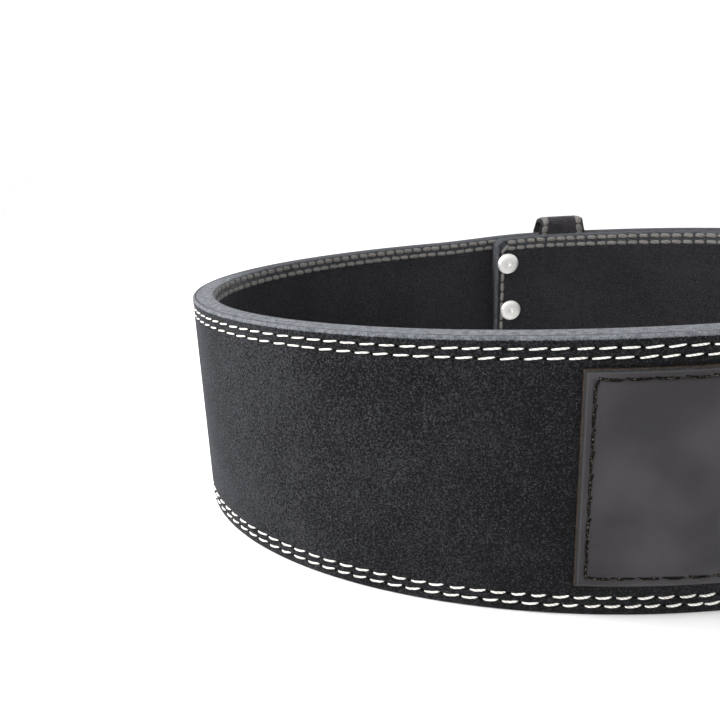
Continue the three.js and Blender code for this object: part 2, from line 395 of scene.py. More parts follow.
# %% Sizes of the strap's section
INNER_ROUND = 1.4 * MM
OUTER_ROUND = 0.9 * MM
SEAM_CLOSING = 0.2 * MM
OUTER_PAINT = (0.65, 0.9 * MM, 1.8 * MM)
INNER_PAINT = (0.52, 6.5 * MM, 9.5 * MM)
STANDING_PAINT = 0.3
SEAM_ROUND = 0.15 * MM
SEAM_SHADE = 0.6 * MM
PITCH = 6.65 * MM
ROW_INSETS = (3.8 * MM, 7.1 * MM)
ROW_DRAW = 0.22 * MM
ROW_REACH = 0.6 * MM
BAND = 10 * MM
FACE_BANDS = MM * np.array([
    1.2, 1.6, 2.0, 2.5, 3.0, 3.5, 4.0, 4.5, 5.0, 5.6, 6.1, 6.6, 7.1, 7.6, 8.2, 9, 10])
FACE_SHARES = np.array([0.12, 0.3, 0.55, 0.8, 1.0])
CORNER_ANGLES = np.radians(np.linspace(0, 90, 6))


# %% The section of one layer
def half_section(side, face, seam, bend, paint):
    """The lower half of a layer's outline, from the middle of its seam side to its face.

    Each point is a core place plus a direction times the corner's radius, so that the
    ends of the strap can shrink the radius to nothing. Columns are: core depth, step in
    depth, distance from the edge, share of the way to the middle, step out of the edge,
    rim mask, seam mask.
    """
    # The last column, the seam mask, marks painted shade: the edge darkens beside the seam between the two
    # layers.
    rows = [(seam, 0, 0, 1.0, 0, 0, 1), (seam, 0, BAND, 0, 0, 0, 1)]
    seam_core, face_core = seam + side * SEAM_ROUND, face - side * bend
    for angle in CORNER_ANGLES[[0, 2, 5]]:
        rows.append((seam_core, -side * SEAM_ROUND * np.cos(angle), SEAM_ROUND, 0,
                     SEAM_ROUND * np.sin(angle), 1, 1))
    shade = min(SEAM_SHADE / abs(face_core - seam_core), 0.4)
    for share in (shade, 0.5, 0.75):
        middle = seam_core + (face_core - seam_core) * share
        rows.append((middle, 0, bend, 0, bend, 1, 0))
    for angle in CORNER_ANGLES:
        rows.append((face_core, side * bend * np.sin(angle), bend, 0,
                     bend * np.cos(angle), 1 - 0.35 * angle / np.radians(90), 0))
    strength, paint_start, paint_end = paint
    for band in FACE_BANDS:
        run = strength * (1 - smooth(band, paint_start, paint_end))
        rows.append((face_core, side * bend, band, 0, 0, run, 0))
    for share in FACE_SHARES:
        rows.append((face_core, side * bend, BAND, share, 0, 0, 0))
    return np.array(rows)


def end_stations(corner, bend):
    """Distances from an end, close together where its roundings turn fastest."""
    sweep = np.radians(np.linspace(0, 90, 9))
    return np.concatenate([bend * (1 - np.cos(sweep)), corner * (1 - np.cos(sweep))])


def corner_cut(distance, corner):
    """How much height a round corner takes away: r - sqrt(r^2 - (r - d)^2)."""
    left = np.clip(corner - distance, 0, corner)
    return corner - np.sqrt(corner ** 2 - left ** 2)


def strap_layer(name, side, face, seam, bend, paint, finish):
    """One layer of leather, its section carried along the whole strap.

    paint is how strongly the edge's grey has run onto the face, and from where to where.
    The edge that the belt stands on is rubbed, and shows little of the grey.
    """
    stations = np.unique(np.round(np.concatenate([
        INNER_END + end_stations(END_CORNER, bend), TONGUE_END - end_stations(TONGUE_CORNER, bend),
        np.arange(INNER_END + END_CORNER, TONGUE_END - TONGUE_CORNER, PITCH / 5),
        np.linspace(TONGUE_END - TONGUE_CORNER, TONGUE_END - bend, 40)]), 7))
    cut = (corner_cut(stations - INNER_END, END_CORNER)
           + corner_cut(TONGUE_END - stations, TONGUE_CORNER))[:, None]
    nearest = np.minimum(stations - INNER_END, TONGUE_END - stations)
    close = np.sqrt(1 - (1 - np.clip(nearest / bend, 0, 1)) ** 2)[:, None]
    lower = half_section(side, face, seam, bend, paint)
    outline = np.vstack([lower, lower[-2:0:-1]])
    core, step, base, share, out, rim, groove_painted_shade = outline.T
    half = STRAP_HEIGHT / 2 - cut
    inset = base + share * (half - base)
    height_low = cut + inset - out * close
    is_upper = np.arange(len(outline)) >= len(lower)
    height = np.where(is_upper, STRAP_HEIGHT - height_low, height_low)
    drawn = sum(np.exp(-((inset - row) / ROW_REACH) ** 2) for row in ROW_INSETS)
    on_face = (np.abs(step) == bend) & (out == 0)
    depth = core + step * close - side * ROW_DRAW * drawn * on_face * close
    along = np.broadcast_to(stations[:, None], depth.shape)
    near_end = 1 - 0.6 * close ** 4 - 0.4 * np.clip(nearest / bend - 1, 0, 1)[:, None]
    painted = np.maximum(rim * np.where(is_upper, 1, STANDING_PAINT), near_end)
    piece = surface(name, in_strap(along, depth, height), readings=np.stack([along, height], -1),
                    masks={"rim": painted, "seam": np.broadcast_to(groove_painted_shade, depth.shape)}, finish=finish)
    weld(piece)
    return piece


inner_leather = strap_layer("inner_leather_surface", -1, INNER_FACE, INNER_FACE + INNER_LAYER,
                            INNER_ROUND, INNER_PAINT, inner_finish)
stand_for(inner_leather, "edge_leather", "inner_leather")
outer_suede = strap_layer("outer_suede_surface", 1, OUTER_FACE, OUTER_FACE - OUTER_LAYER - SEAM_CLOSING,
                          OUTER_ROUND, OUTER_PAINT, outer_finish)
stand_for(outer_suede, "suede", "outer_suede")

# %% [markdown]
# ## Stitches
# The thread is thick and white outside; inside, a darker grey copy of it is painted shade for
# the inner face. It dives into a hole and comes up at the next one, so each visible stitch is
# a short bridge, fullest in the middle and sunk at its ends. All stitches of a face are one
# mesh: a small tube of nine rings, copied to every place in a row by arrays. The rows turn the
# corners of both ends, and a near-black cap of painted shade stands for the mouth of each needle hole
# between stitches.


# %% Finishes for thread and needle holes
def thread_finish(name, low, high, pale):
    """Two strands twisted together: slanted bands along the thread, soft and matt."""
    thread = Finish(name, Roughness=0.7, Sheen_Weight=pale, Sheen_Roughness=0.4,
                    Specular_IOR_Level=0.3)
    fuzz = thread.noise(2400, 2, 0.6)
    wear = thread.noise(160, 2, 0.5)
    strands = thread.node("ShaderNodeTexWave", {"bands_direction": "DIAGONAL"}, {
        "Vector": thread.place, "Scale": 420, "Distortion": 1.5, "Detail": 1})
    strand = thread.node("ShaderNodeSeparateColor", None, {0: strands})
    shade = thread.between(strand * 0.35 + fuzz * 0.4 + wear * 0.45, 0.3, 0.72)
    thread.set(Base_Color=thread.blend(shade, low, high), Normal=thread.bump(fuzz, 0.1 * MM, 0.5))
    return thread


white_thread = thread_finish("white thread", (0.42, 0.39, 0.35), (0.92, 0.90, 0.86), 0.1)
# The inner face's thread is the white thread painted darker grey, as shade on the inner face.
shaded_inner_thread = thread_finish("shaded inner thread", (0.080, 0.075, 0.070), (0.190, 0.180, 0.168), 0.05)
# Painted shade: the needle holes are near-black caps of colour, not real openings.
hole_painted_shade = Finish("needle hole", Roughness=1.0, Specular_IOR_Level=0.0)
hole_painted_shade.set(Base_Color=hole_painted_shade.blend(
    hole_painted_shade.noise(900), (0.001, 0.001, 0.001), (0.004, 0.004, 0.004)))

# %% The shape of one stitch
STITCH_LENGTH = 5.15 * MM
INNER_STITCH_LENGTH = 6.1 * MM
THREAD_RADIUS = 0.37 * MM
LOOSE_RADIUS = 0.43 * MM
STITCH_DRIFT = 0.2 * MM
LOOSE_BOW = -0.28 * MM
UPPER_TILT, LOWER_TILT = -0.08, -0.12
INNER_THREAD_SPREAD = 3.2
HOLE_SIZE, HOLE_HEIGHT = 0.78 * MM, 0.16 * MM
PUCKER_SIZE, PUCKER_HEIGHT = 0.9 * MM, 0.32 * MM
PUCKER_SHIFT = np.array([-0.3 * MM, 1.1 * MM, 0])
MOUTH_LENGTH, MOUTH_WIDTH, MOUTH_SLANT = 1.25, 0.7, np.radians(50)
STITCH_RINGS = np.linspace(-1, 1, 9)
STITCH_SIDES = np.linspace(0, 2 * np.pi, 6, endpoint=False)


def stitches(place, centres, length, radius, bow=0.0, tilt=0.0, rise=0.55, lean=0.0,
             hook=0.0, width=1.0, seed=1):
    """Tubes along (s L/2, bow (1 - s^2) + hook h(s)), s from -1 to 1, for rows of (u, v, angle).

    h(s) turns the last third aside. place(u, out, v) gives the point. The middle line
    stands out by r (rise + lean s - 0.75 s^4), so its ends sink in, the tube is width
    times as wide as it is thick, and each stitch differs a little by chance.
    """
    chance = np.random.default_rng(seed)
    u, v, angle = [value[:, None, None] for value in np.asarray(centres).T]
    angle = angle + tilt + chance.normal(0, 0.035, angle.shape)
    length = length * (1 + chance.normal(0, 0.035, angle.shape))
    u = u + chance.normal(0, STITCH_DRIFT, angle.shape) * np.cos(angle)
    s = STITCH_RINGS[None, :, None]
    ring = STITCH_SIDES[None, None, :]
    full = radius * (1 - 0.35 * s ** 4)
    run = s * length / 2
    side = bow * (1 - s ** 2) + hook * smooth(s, 0.3, 1.1) + width * full * np.cos(ring)
    out = radius * (rise + lean * s - 0.75 * s ** 4) + full * np.sin(ring)
    return place(u + np.cos(angle) * run - np.sin(angle) * side, out,
                 v + np.sin(angle) * run + np.cos(angle) * side)


def hole_mouths(place, centres, size, height):
    """Low slanted ovals, nearly a quarter turn from rim to crown, at rows of (u, v, angle)."""
    u, v, angle = [value[:, None, None] for value in np.asarray(centres).T]
    rise = np.radians(np.array([0, 45, 80]))[None, :, None]
    ring = STITCH_SIDES[None, None, :]
    across = size * np.cos(rise) * np.cos(ring) * MOUTH_LENGTH
    along = size * np.cos(rise) * np.sin(ring) * MOUTH_WIDTH
    out = height * np.sin(rise) + 0 * ring - 0.2 * height
    slant = angle + MOUTH_SLANT
    return place(u + np.cos(slant) * across - np.sin(slant) * along, out,
                 v + np.sin(slant) * across + np.cos(slant) * along)


# %% Where the strap's stitches lie
END_ROW = 4.0 * MM
ROW_START = 7.0 * MM
CORNER_STITCH = (5.0 * MM, 6.2 * MM)
CORNER_GAP = 2.2 * MM
# Each row in mm: inset from the edge, pitch, and the place of one of its stitches, past
# the middle of the back. A row of INSIDE_TOP gives its first stitch along the strap.
OUTER_TOP = ((3.9, 6.57, 52.4), (7.0, 6.60, 53.9))
BOTTOM = ((3.9, 6.63, 50.7), (7.3, 6.81, 47.5))
INSIDE_TOP = ((2.2, 6.57, 9.8), (6.1, 6.60, 9.6))


def straight_row(start, end, height, pitch, phase):
    """Places one pitch apart between start and end that pass through phase."""
    first = np.ceil((start - phase) / pitch)
    last = np.floor((end - phase) / pitch)
    along = phase + pitch * np.arange(first, last + 1)
    return np.stack([along, np.full_like(along, height), np.zeros_like(along)], -1)


def tongue_row(inset):
    """Places down the tip of the tongue: a quarter circle, a straight run, a quarter circle."""
    radius = TONGUE_CORNER - inset
    straight = STRAP_HEIGHT - 2 * TONGUE_CORNER
    quarter = radius * np.pi / 2
    total = 2 * quarter + straight
    count = int(round(total / PITCH))
    run = (np.arange(count) + 0.5) * total / count
    upper = np.clip(run / radius, 0, np.pi / 2)
    lower = np.clip((run - quarter - straight) / radius, 0, np.pi / 2)
    level = np.clip(run - quarter, 0, straight)
    centre = TONGUE_END - TONGUE_CORNER
    along = centre + radius * np.sin(upper) * np.cos(lower)
    height = STRAP_HEIGHT - TONGUE_CORNER + radius * np.cos(upper) - level - radius * np.sin(lower)
    return np.stack([along, height, -(upper + lower)], -1)


def end_row():
    """One row down the inner end, with a slanted stitch across each corner."""
    low = CORNER_STITCH[1] + CORNER_GAP
    high = STRAP_HEIGHT - low
    count = int(round((high - low) / PITCH))
    height = low + (np.arange(count) + 0.5) * (high - low) / count
    column = np.stack([np.full_like(height, INNER_END + END_ROW), height,
                       np.full_like(height, np.pi / 2)], -1)
    along, inset = INNER_END + CORNER_STITCH[0], CORNER_STITCH[1]
    corners = [(along, inset, -np.pi / 4), (along, STRAP_HEIGHT - inset, np.pi / 4)]
    return np.vstack([column, corners])


row_end = TONGUE_END - TONGUE_CORNER
row_start = INNER_END + ROW_START
top_rows = np.vstack([
    straight_row(row_start, row_end, STRAP_HEIGHT - inset * MM, pitch * MM, BACK_MIDDLE + past * MM)
    for inset, pitch, past in OUTER_TOP])
bottom_rows = np.vstack([
    straight_row(row_start, row_end, inset * MM, pitch * MM, BACK_MIDDLE + past * MM)
    for inset, pitch, past in BOTTOM])
inside_top_rows = np.vstack([
    straight_row(start * MM, row_end, STRAP_HEIGHT - inset * MM, pitch * MM, start * MM)
    for inset, pitch, start in INSIDE_TOP])
end_rows = np.vstack([end_row()] + [tongue_row(inset) for inset in ROW_INSETS])
print(len(top_rows) + len(bottom_rows) + len(end_rows), "stitches on each face")


# %% Sew both faces
def outer_place(u, out, v):
    return in_strap(u, OUTER_FACE - ROW_DRAW + out, v)


def inner_place(u, out, v):
    return in_strap(u, INNER_FACE + ROW_DRAW - out, v)


def sew(name, place, upper_rows, thread_kind, length, width, puckers=None):
    """All stitches of one face in one mesh, and near-black caps of painted shade for the holes between them
    in another.

    Beside each hole the tight thread also pushes up a small pucker of leather.
    """
    shape = dict(length=length, width=width, lean=0.2)
    grids = [
        stitches(place, upper_rows, radius=THREAD_RADIUS, tilt=UPPER_TILT, seed=2, **shape),
        stitches(place, bottom_rows, radius=LOOSE_RADIUS, bow=LOOSE_BOW, tilt=LOWER_TILT, seed=3, **shape),
        stitches(place, end_rows, radius=THREAD_RADIUS, seed=4, **shape)]
    thread = surface(name + "_stitches", np.concatenate(grids), finish=thread_kind)
    between = np.vstack([upper_rows, bottom_rows]) + np.array([PITCH / 2, 0, 0])
    mouths = surface(name + "_needle_hole_shades", hole_mouths(place, between, HOLE_SIZE, HOLE_HEIGHT),
                     finish=hole_painted_shade)
    for piece in (thread, mouths):
        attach(piece, "root")
    if puckers is not None:
        beside = between - PUCKER_SHIFT
        lumps = surface(name + "_puckers", hole_mouths(place, beside, PUCKER_SIZE, PUCKER_HEIGHT),
                        finish=puckers)
        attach(lumps, "root")


sew("outer", outer_place, top_rows, white_thread, STITCH_LENGTH, 1.0, outer_finish)
sew("inner", inner_place, inside_top_rows, shaded_inner_thread, INNER_STITCH_LENGTH, INNER_THREAD_SPREAD)

# %% [markdown]
# ## Keeper
# The keeper is a strip of thinner leather bent into a loop round the tongue, a little
# narrower over the crown, with a line of stitches along each edge. Its edges droop where
# it bends over the top, as a bent strip's edges do. The loop is a closed path carried
# round, and at each place on it the strip's own section is a flat rounded rectangle.

# %% Keeper finish
keeper_finish = Finish("keeper leather", Specular_IOR_Level=0.08, Sheen_Weight=0.05, Sheen_Roughness=0.5)
keeper_pores = keeper_finish.noise(1100, 3, 0.6)
keeper_clouds = keeper_finish.noise(90, 3, 0.5)
keeper_wear = keeper_finish.between(keeper_pores * 0.6 + keeper_clouds * 0.5, 0.38, 0.72)
keeper_rim = keeper_finish.attribute("rim")
keeper_edge = keeper_finish.between(keeper_rim + (keeper_pores - 0.5) * 0.6, 0.4, 0.7)
keeper_finish.set(
    Base_Color=keeper_finish.blend(
        keeper_edge, keeper_finish.blend(keeper_wear, (0.013, 0.0120, 0.0130), (0.042, 0.0392, 0.0425)),
        (0.003, 0.003, 0.003)),
    Roughness=0.75 - 0.15 * keeper_wear, Normal=keeper_finish.bump(keeper_pores, 0.2 * MM, 0.6))

# %% The loop
KEEPER_WIDTH = 29 * MM
KEEPER_CROWN = 26.5 * MM
KEEPER_SLACK = 7.8 * MM
KEEPER_DROOP = 1.1 * MM
KEEPER_EDGE = 0.6 * MM
KEEPER_FOOT_ROUND = 2 * MM
KEEPER_TOP_ROUND = 3.5 * MM
LOOP_STEPS = 260


def loop_path(steps):
    """A rounded rectangle of (depth, height) with its outward direction, walked once."""
    half = THICKNESS / 2 + FIT_GAP + KEEPER_WALL / 2
    foot = -FIT_GAP - KEEPER_WALL / 2
    crown = STRAP_HEIGHT + KEEPER_SLACK + KEEPER_WALL / 2
    low, high = KEEPER_FOOT_ROUND, KEEPER_TOP_ROUND
    corners = [(half - low, foot + low, low, -90), (half - high, crown - high, high, 0),
               (high - half, crown - high, high, 90), (low - half, foot + low, low, 180)]
    depth, height, out = [], [], []
    for core_depth, core_height, radius, start in corners:
        angle = np.radians(start + np.linspace(0, 90, 9))
        depth.append(core_depth + radius * np.cos(angle))
        height.append(core_height + radius * np.sin(angle))
        out.append(angle)
    depth, height, out = np.concatenate(depth), np.concatenate(height), np.concatenate(out)
    closed = [np.append(value, value[0]) for value in (depth, height)]
    closed.append(np.append(out, out[0] + 2 * np.pi))
    run = np.concatenate([[0], np.cumsum(np.hypot(np.diff(closed[0]), np.diff(closed[1])))])
    even = np.linspace(0, run[-1], steps, endpoint=False)
    return [np.interp(even, run, value) for value in closed], run[-1]


def on_loop(depth, height, out, across, lift):
    """A place on the strip: across from its middle line, lift out of its leather."""
    upward = smooth(height, STRAP_HEIGHT, STRAP_HEIGHT + KEEPER_SLACK)
    width = KEEPER_WIDTH + (KEEPER_CROWN - KEEPER_WIDTH) * upward
    droop = KEEPER_DROOP * upward * np.abs(2 * across) ** 6
    return on_strap(KEEPER_REACH + across * width, depth + np.cos(out) * lift,
                    height + np.sin(out) * lift - droop)


def strip_section(half_wall, corner, steps):
    """(across, lift, rim) round a flat rounded rectangle one unit wide."""
    edge = 0.5 - corner / KEEPER_WIDTH
    angle = np.radians(np.linspace(0, 90, 4))
    side = np.linspace(-edge, edge, steps)
    bend = edge + (corner / KEEPER_WIDTH) * np.sin(angle)
    drop = half_wall - corner + corner * np.cos(angle)
    across = np.concatenate([side, bend[1:], bend[:-1][::-1],
                             side[::-1][1:], -bend[1:], -bend[1:-1][::-1]])
    lift = np.concatenate([np.full(steps, half_wall), drop[1:], -drop[:-1][::-1],
                           np.full(steps - 1, -half_wall), -drop[1:], drop[1:-1][::-1]])
    rim = np.concatenate([np.zeros(steps), np.ones(len(angle) - 1), np.ones(len(angle) - 1),
                          np.zeros(steps - 1), np.ones(len(angle) - 1), np.ones(len(angle) - 2)])
    return across, lift, rim


(loop_depth, loop_height, loop_out), loop_length = loop_path(LOOP_STEPS)
across, lift, rim = strip_section(KEEPER_WALL / 2, KEEPER_EDGE, 21)
keeper = surface("keeper_loop", on_loop(loop_depth[:, None], loop_height[:, None], loop_out[:, None],
                                        across[None, :], lift[None, :]),
                 wrap_rows=True, finish=keeper_finish,
                 masks={"rim": np.broadcast_to(rim, (LOOP_STEPS, len(rim)))})
stand_for(keeper, "keeper_leather", "keeper")

# %% Stitches along the keeper's edges
KEEPER_PITCH = 5.0 * MM
KEEPER_STITCH = 5.3 * MM
KEEPER_THREAD = 0.34 * MM
KEEPER_THREAD_SPREAD = 6.0
KEEPER_TILT = 0.14
KEEPER_ROW = 11.2 * MM
grey_thread = thread_finish("grey thread", (0.068, 0.064, 0.060), (0.165, 0.157, 0.148), 0.05)
path_run = np.linspace(0, loop_length, len(loop_depth), endpoint=False)


def keeper_place(u, out, v):
    """u runs round the loop, v is the distance across, out lifts off the outer face."""
    turn = np.mod(u, loop_length)
    values = [np.interp(turn, path_run, value) for value in (loop_depth, loop_height, loop_out)]
    return on_loop(*values, v / KEEPER_WIDTH, KEEPER_WALL / 2 + out)


keeper_run = np.arange(2 * MM, loop_length - 3 * MM, KEEPER_PITCH)
keeper_run = keeper_run[np.interp(keeper_run, path_run, loop_height) > KEEPER_PITCH]
keeper_rows = np.vstack([np.stack([keeper_run, np.full_like(keeper_run, side * KEEPER_ROW),
                                   np.zeros_like(keeper_run)], -1) for side in (-1, 1)])
keeper_thread = surface("keeper_stitches", stitches(
    keeper_place, keeper_rows, KEEPER_STITCH, KEEPER_THREAD, tilt=KEEPER_TILT, rise=0.0,
    width=KEEPER_THREAD_SPREAD, seed=7), finish=grey_thread)
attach(keeper_thread, "root")

# %% [markdown]
# ## Patch
# A plain leather patch is sewn on the middle of the back. It is a smooth, slightly waxed
# leather, so it shines a little where the suede doesn't. Its front drops along a rounded
# bevel all round, and black thread runs a little further in. The patch is a height map on
# a grid: how far the front stands out depends on the distance to the nearest border.

# %% Patch finish
patch_finish = Finish("patch leather", Specular_IOR_Level=0.22, Coat_Roughness=0.35)
patch_cells = patch_finish.node("ShaderNodeTexVoronoi", {"feature": "DISTANCE_TO_EDGE"}, {
    "Vector": patch_finish.place, "Scale": 1300, "Randomness": 1.0})
patch_fine = patch_finish.noise(2600, 2, 0.6)
patch_clouds = patch_finish.noise(32, 2, 0.5)
patch_shade = patch_finish.between(patch_clouds * 0.85 + patch_fine * 0.15, 0.36, 0.64)
patch_face = patch_finish.blend(patch_shade, (0.0200, 0.0182, 0.0208), (0.0375, 0.0346, 0.0394))
patch_ring = patch_finish.blend(patch_finish.between(patch_fine, 0.38, 0.62),
                                (0.0030, 0.0030, 0.0030), (0.0240, 0.0240, 0.0228))
patch_colour = patch_finish.blend(patch_finish.attribute("ring"), patch_face, patch_ring)
patch_colour = patch_finish.blend(
    patch_finish.attribute("crease") * 0.7, patch_colour, (0.050, 0.048, 0.051))
patch_colour = patch_finish.blend(
    patch_finish.attribute("raw") * patch_finish.between(patch_fine, 0.46, 0.66),
    patch_colour, (0.100, 0.060, 0.030))
# Painted shade: the stitch groove is darkened nearly to black along the stitch line.
patch_colour = patch_finish.blend(
    patch_finish.attribute("groove_painted_shade") * 0.9, patch_colour, (0.001, 0.001, 0.001))
patch_finish.set(
    Base_Color=patch_colour, Roughness=0.50 + 0.14 * patch_clouds, Coat_Weight=0.05 * patch_shade,
    Normal=patch_finish.bump(patch_finish.between(patch_cells, 0.0, 0.25) * 0.6 + patch_fine * 0.4,
                             0.06 * MM, 0.6))

# %% The patch
PATCH_WIDTH = 105 * MM
PATCH_HEIGHT = 77 * MM
PATCH_TAPER = 1.6 * MM
PATCH_WALL = 2 * MM
PATCH_BEVEL = 1.3 * MM
PATCH_DROP = 0.7 * MM
PATCH_RISE = 1.4 * MM
PATCH_LOW = (STRAP_HEIGHT - PATCH_HEIGHT) / 2 + PATCH_RISE
PATCH_SEAT = OUTER_FACE + FIT_GAP
PATCH_FINE_REACH = 5.5 * MM
PATCH_STITCH_LINE = 3.3 * MM
PATCH_GROOVE, GROOVE_REACH, GROOVE_SHADE = 0.3 * MM, 0.7 * MM, 0.32 * MM


def spread(length, count):
    """Distances across a piece, close together near both of its borders."""
    near = np.concatenate([PATCH_BEVEL * np.linspace(0, 1, 11) ** 1.2,
                           np.linspace(PATCH_BEVEL, PATCH_FINE_REACH, 11)[1:]])
    middle = np.linspace(near[-1], length - near[-1], count)[1:-1]
    return np.concatenate([near, middle, length - near[::-1]])


def patch_place(u, out, v):
    """u and v are distances from the middle and the bottom, and out lifts off the seat."""
    narrowing = (PATCH_TAPER / (PATCH_WIDTH / 2)) * (1 - v / PATCH_HEIGHT)
    return on_strap(BACK_MIDDLE + u * (1 - narrowing), PATCH_SEAT + out, PATCH_LOW + v)


patch_u = spread(PATCH_WIDTH, 90) - PATCH_WIDTH / 2
patch_v = spread(PATCH_HEIGHT, 60)
border = np.minimum(PATCH_WIDTH / 2 - np.abs(patch_u)[:, None],
                    np.minimum(patch_v, PATCH_HEIGHT - patch_v)[None, :])
front = (PATCH_WALL - PATCH_DROP * (1 - np.clip(border / PATCH_BEVEL, 0, 1)) ** 2
         - PATCH_GROOVE * np.exp(-((border - PATCH_STITCH_LINE) / GROOVE_REACH) ** 2))
back = np.zeros_like(front)
inward = border / PATCH_BEVEL
# The groove mask paints shade into the stitch groove.
patch_masks = {
    "ring": 1 - smooth(inward, 0.50, 0.66), "raw": 1 - smooth(inward, 0.0, 0.12),
    "crease": np.exp(-((inward - 0.76) / 0.13) ** 2),
    "groove_painted_shade": np.exp(-((border - PATCH_STITCH_LINE) / GROOVE_SHADE) ** 2)}
u_grid = np.broadcast_to(patch_u[:, None], front.shape)
v_grid = np.broadcast_to(patch_v[None, :], front.shape)
patch = surface("back_patch_surface", patch_place(
    np.hstack([u_grid, u_grid]), np.hstack([front, back[:, ::-1]]),
    np.hstack([v_grid, v_grid[:, ::-1]])), finish=patch_finish,
    masks={key: np.hstack([mask, mask[:, ::-1]]) for key, mask in patch_masks.items()})
stand_for(patch, "patch_leather", "back_patch")

# %% Black stitches round the patch
PATCH_PITCH = 8.2 * MM
PATCH_STITCH = 8.2 * MM
PATCH_THREAD = 0.5 * MM
PATCH_HOOK = 0.9 * MM
black_thread = Finish("black thread", Roughness=0.85, Specular_IOR_Level=0.1)
# Painted glints: pale flecks at this noise's peaks stand in for light caught by the waxed thread; the same
# noise also bumps it.
painted_glint_noise = black_thread.noise(1700, 2, 0.7)
black_thread.set(
    Base_Color=black_thread.blend(
        black_thread.between(painted_glint_noise, 0.54, 0.68), (0.0010, 0.0010, 0.0010), (0.120, 0.104, 0.080)),
    Normal=black_thread.bump(painted_glint_noise, 0.15 * MM, 0.6))


def border_row(length, fixed, angle):
    """Places one pitch apart along one side of the patch."""
    count = int(round(length / PATCH_PITCH))
    run = (np.arange(count) + 0.5) * length / count
    return run, np.full(count, fixed), np.full(count, angle)


across_run, across_at, across_turn = border_row(
    PATCH_WIDTH - 2 * PATCH_STITCH_LINE, PATCH_STITCH_LINE, 0)
up_run, up_at, up_turn = border_row(
    PATCH_HEIGHT - 2 * PATCH_STITCH_LINE, PATCH_STITCH_LINE, np.pi / 2)
half_width = PATCH_WIDTH / 2 - PATCH_STITCH_LINE
patch_rows = np.vstack([
    np.stack([across_run - half_width, across_at, across_turn], -1),
    np.stack([across_run - half_width, PATCH_HEIGHT - across_at, across_turn], -1),
    np.stack([up_at - PATCH_WIDTH / 2, up_run + PATCH_STITCH_LINE, up_turn], -1),
    np.stack([PATCH_WIDTH / 2 - up_at, up_run + PATCH_STITCH_LINE, up_turn], -1)])


def patch_front(u, out, v):
    return patch_place(u, PATCH_WALL - PATCH_GROOVE + out, v)


patch_thread = surface("patch_stitches", stitches(
    patch_front, patch_rows, PATCH_STITCH, PATCH_THREAD, hook=PATCH_HOOK, rise=0.35, seed=9),
    finish=black_thread)
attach(patch_thread, "root")

# %% [markdown]
# ## Rivets
# Three nickel rivets hold the inner end. Each is turned: a profile of radius and depth
# carried round its axis, with a domed head, a small dimple in its middle, a shank
# through both layers and a flat tail.

# %% Metal finishes
rivet_finish = Finish("nickel", Metallic=1.0)
rivet_smudge = rivet_finish.noise(300, 3, 0.6)
rivet_grain = rivet_finish.noise(1500, 2, 0.5)
rivet_finish.set(
    Base_Color=rivet_finish.blend(rivet_smudge, (0.80, 0.79, 0.77), (0.93, 0.92, 0.90)),
    Roughness=0.48 + 0.14 * rivet_smudge, Normal=rivet_finish.bump(rivet_grain, 0.03 * MM, 0.4))

clasp_finish = Finish("brushed steel", Metallic=1.0)
clasp_brush = clasp_finish.noise(900, 3, 0.6, clasp_finish.stretched(0.05, 0.05, 1))
clasp_smudge = clasp_finish.noise(60, 3, 0.5)
clasp_finish.set(
    Base_Color=clasp_finish.blend(clasp_smudge, (0.36, 0.36, 0.36), (0.50, 0.50, 0.49)),
    Roughness=0.26 + 0.16 * clasp_brush, Normal=clasp_finish.bump(clasp_brush, 0.05 * MM, 0.5))


# %% Turned pieces
def turned(profile, along, height, sides=48):
    """A profile of (radius, depth) carried round an axis that points out of the strap."""
    radius, depth = np.asarray(profile).T
    angle = np.linspace(0, 2 * np.pi, sides, endpoint=False)
    middle = on_strap(along, 0.0, height)
    outward = on_strap(along, 1.0, height) - middle
    sideways = np.cross((0, 0, 1.0), outward)
    ring = np.cos(angle)[:, None] * sideways + np.sin(angle)[:, None] * np.array((0, 0, 1.0))
    return middle + depth[:, None, None] * outward + radius[:, None, None] * ring[None]


def arc_profile(from_radius, to_radius, from_depth, to_depth, steps=12):
    """A quarter oval from the crown of a dome, flat there, to its rim, upright there."""
    angle = np.radians(np.linspace(90, 0, steps))
    return [(from_radius + (to_radius - from_radius) * np.cos(a),
             to_depth + (from_depth - to_depth) * np.sin(a)) for a in angle]


RIVET_SEAT = INNER_FACE - WALL_STEP - FIT_GAP
RIVET_TAIL = OUTER_FACE - WALL_STEP + FIT_GAP
RIVET_CROWN = RIVET_SEAT - 2.4 * MM
RIVET_RADIUS, RIVET_SHANK = 6.5 * MM, 2.25 * MM
rivet_profile = [
    (0.02 * MM, RIVET_CROWN + 0.5 * MM), (0.6 * MM, RIVET_CROWN + 0.45 * MM),
    (1.0 * MM, RIVET_CROWN + 0.25 * MM), (1.25 * MM, RIVET_CROWN + 0.05 * MM),
    *arc_profile(1.6 * MM, RIVET_RADIUS, RIVET_CROWN, RIVET_SEAT - 0.7 * MM),
    (RIVET_RADIUS, RIVET_SEAT - 0.2 * MM), (6.3 * MM, RIVET_SEAT), (RIVET_SHANK, RIVET_SEAT),
    (RIVET_SHANK, RIVET_TAIL), (4.2 * MM, RIVET_TAIL), (4.5 * MM, RIVET_TAIL + 0.3 * MM),
    (4.4 * MM, RIVET_TAIL + 0.9 * MM), (4.0 * MM, RIVET_TAIL + 1.2 * MM), (0.02 * MM, RIVET_TAIL + 1.2 * MM)]
RIVETS = {"rivet_top": (7.4 * MM, 84.4 * MM), "rivet_middle": (10.3 * MM, 53.4 * MM),
          "rivet_bottom": (8.9 * MM, 22.4 * MM)}
for node, (along, height) in RIVETS.items():
    rivet = surface(node + "_turned", turned(rivet_profile, along, height), finish=rivet_finish)
    stand_for(rivet, "rivet_metal", node)

# %% [markdown]
# ## Clasp
# The clasp is a curved steel plate on the outside of the tongue, held by two pins. Its
# section is a flat rounded rectangle that loses height towards the plate's round
# corners, just as the strap does at its ends.

